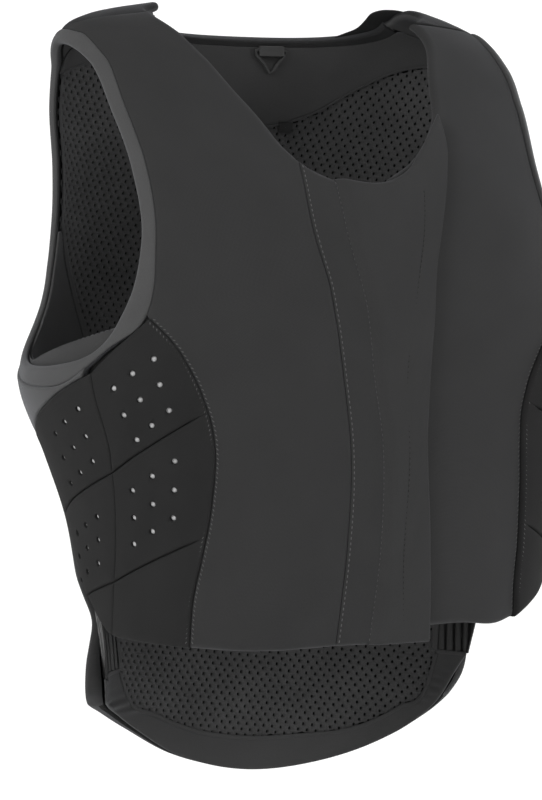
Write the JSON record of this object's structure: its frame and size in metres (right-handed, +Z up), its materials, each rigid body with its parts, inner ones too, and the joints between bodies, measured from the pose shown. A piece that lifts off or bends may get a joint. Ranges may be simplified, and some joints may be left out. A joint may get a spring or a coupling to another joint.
{
  "type": "protective vest",
  "caption": "Padded dark protective vest for riding, with overlapping front flap, bevelled arm openings, perforated side pads and a long rounded back with mesh lining.",
  "frame": {"origin": "at the top of the shoulders, midway between them and on the line where the vest hangs on a wearer's neck and shoulders", "axes": "+Z up, -Y toward the front of the vest, +X toward the wearer's left side"},
  "size_m": [0.4342, 0.2542, 0.5634],
  "materials": {
    "softshell": "matte stretch softshell",
    "bevel": "matte knitted edge",
    "perforated_cloth": "matte perforated cloth over light foam",
    "stretch_band": "smooth stretch knit",
    "mesh": "open mesh",
    "plain_lining": "matte knit lining",
    "binding": "woven tape",
    "hook_tape": "hook and loop tape",
    "label": "satin tape"
  },
  "bodies": {
    "root": {"front_panel_right": "softshell", "front_strip_right": "softshell", "placket_flap": "softshell", "closure_strip": "hook_tape", "front_panel_left": "softshell", "armhole_edge_right": "bevel", "shoulder_band_right": "stretch_band", "underarm_gusset_right": "perforated_cloth", "pad_upper_front_right": "perforated_cloth", "pad_upper_rear_right": "perforated_cloth", "pad_lower_front_right": "perforated_cloth", "pad_lower_rear_right": "perforated_cloth", "pad_hem_front_right": "perforated_cloth", "pad_hem_rear_right": "perforated_cloth", "side_lining_right": "plain_lining", "waist_band_right": "stretch_band", "armhole_edge_left": "bevel", "shoulder_band_left": "stretch_band", "underarm_gusset_left": "perforated_cloth", "pad_upper_front_left": "perforated_cloth", "pad_upper_rear_left": "perforated_cloth", "pad_lower_front_left": "perforated_cloth", "pad_lower_rear_left": "perforated_cloth", "pad_hem_front_left": "perforated_cloth", "pad_hem_rear_left": "perforated_cloth", "side_lining_left": "plain_lining", "waist_band_left": "stretch_band", "back_panel": "softshell", "neck_binding": "binding", "back_yoke_lining": "plain_lining", "back_mesh_lining": "mesh", "tail_border": "plain_lining", "hanging_loop": "binding", "size_label": "label"}
  },
  "joints": []
}
